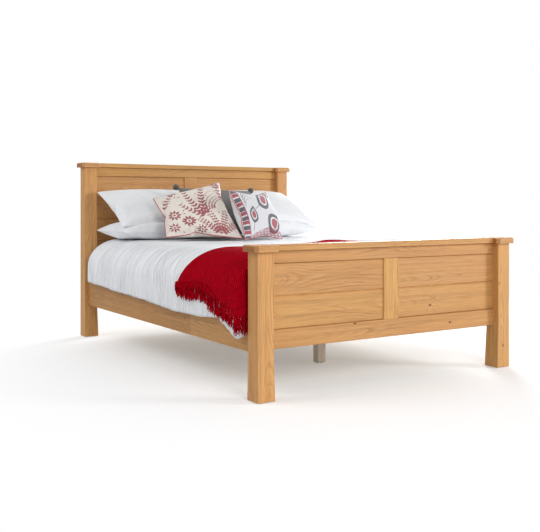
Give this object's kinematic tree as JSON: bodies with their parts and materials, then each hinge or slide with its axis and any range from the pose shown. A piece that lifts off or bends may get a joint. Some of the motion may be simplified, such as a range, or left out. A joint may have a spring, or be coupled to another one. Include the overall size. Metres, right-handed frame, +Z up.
{
  "type": "panel bed",
  "caption": "Panelled timber bed with square posts and clipped caps on a slatted base, dressed with mattress, duvet, pillows, cushions and a fringed throw.",
  "frame": {"origin": "on the floor in the middle of the bed's footprint", "axes": "+X right seen from the foot, +Y from the footboard to the headboard, +Z up"},
  "size_m": [1.5823, 2.14, 1.067],
  "materials": {
    "oiled_oak": "oiled solid oak, satin",
    "planed_pine": "planed, unfinished",
    "pressed_steel": "pressed and zinc plated",
    "zinc_plated_steel": "bright zinc plated",
    "beech_dowel": "turned, unfinished",
    "nylon_glide": "moulded",
    "mattress_ticking": "woven damask ticking",
    "white_cotton": "washed cotton percale",
    "red_wool_knit": "ribbed wool knit",
    "grey_linen": "plain woven linen",
    "printed_linen": "natural linen with a red print",
    "patchwork_cotton": "printed cotton"
  },
  "bodies": {
    "bed_frame": {"headboard_cap_rail": "oiled_oak", "headboard_top_rail": "oiled_oak", "headboard_bottom_rail": "oiled_oak", "headboard_muntin": "oiled_oak", "headboard_post_left": "oiled_oak", "headboard_post_cap_left": "oiled_oak", "headboard_board_left_1": "oiled_oak", "headboard_board_left_2": "oiled_oak", "headboard_board_left_3": "oiled_oak", "headboard_board_left_4": "oiled_oak", "headboard_board_left_5": "oiled_oak", "headboard_post_right": "oiled_oak", "headboard_post_cap_right": "oiled_oak", "headboard_board_right_1": "oiled_oak", "headboard_board_right_2": "oiled_oak", "headboard_board_right_3": "oiled_oak", "headboard_board_right_4": "oiled_oak", "headboard_board_right_5": "oiled_oak", "footboard_cap_rail": "oiled_oak", "footboard_top_rail": "oiled_oak", "footboard_bottom_rail": "oiled_oak", "footboard_muntin": "oiled_oak", "footboard_post_left": "oiled_oak", "footboard_post_cap_left": "oiled_oak", "footboard_board_left_1": "oiled_oak", "footboard_board_left_2": "oiled_oak", "footboard_post_right": "oiled_oak", "footboard_post_cap_right": "oiled_oak", "footboard_board_right_1": "oiled_oak", "footboard_board_right_2": "oiled_oak", "side_rail_left": "oiled_oak", "side_rail_right": "oiled_oak", "slat_ledger_left": "planed_pine", "slat_ledger_right": "planed_pine", "centre_rail": "planed_pine", "centre_leg_foot": "planed_pine", "centre_leg_head": "planed_pine", "slats": "planed_pine", "centre_rail_saddles": "pressed_steel", "corner_brackets": "pressed_steel", "slat_screws": "zinc_plated_steel", "ledger_screws": "zinc_plated_steel", "saddle_screws": "zinc_plated_steel", "leg_screws": "zinc_plated_steel", "bracket_screws": "zinc_plated_steel", "corner_bolts": "zinc_plated_steel", "threaded_inserts": "zinc_plated_steel", "cap_dowels": "beech_dowel", "floor_glides": "nylon_glide"},
    "mattress": {"mattress": "mattress_ticking"},
    "duvet": {"duvet": "white_cotton"},
    "throw": {"throw": "red_wool_knit"},
    "pillows": {"pillow_left_lower": "white_cotton", "pillow_left_upper": "white_cotton", "pillow_right_lower": "white_cotton", "pillow_right_upper": "white_cotton"},
    "cushion_grey": {"cushion_grey": "grey_linen"},
    "cushion_sprig": {"cushion_sprig": "printed_linen"},
    "cushion_patchwork": {"cushion_patchwork": "patchwork_cotton"}
  },
  "joints": [
    {"name": "mattress_lift", "type": "slide", "parent": "bed_frame", "child": "mattress", "axis": [0, 0, 1], "range_m": [0, 0.42]},
    {"name": "duvet_lift", "type": "slide", "parent": "mattress", "child": "duvet", "axis": [0, 0, 1], "range_m": [0, 0.36]},
    {"name": "throw_lift", "type": "slide", "parent": "duvet", "child": "throw", "axis": [0, 0, 1], "range_m": [0, 0.42]},
    {"name": "pillows_lift", "type": "slide", "parent": "duvet", "child": "pillows", "axis": [0, 0, 1], "range_m": [0, 0.3]},
    {"name": "grey_cushion_lift", "type": "slide", "parent": "pillows", "child": "cushion_grey", "axis": [0, 0, 1], "range_m": [0, 0.35]},
    {"name": "sprig_cushion_lift", "type": "slide", "parent": "cushion_grey", "child": "cushion_sprig", "axis": [0, 0, 1], "range_m": [0, 0.35]},
    {"name": "patchwork_cushion_lift", "type": "slide", "parent": "cushion_sprig", "child": "cushion_patchwork", "axis": [0, 0, 1], "range_m": [0, 0.35]}
  ]
}
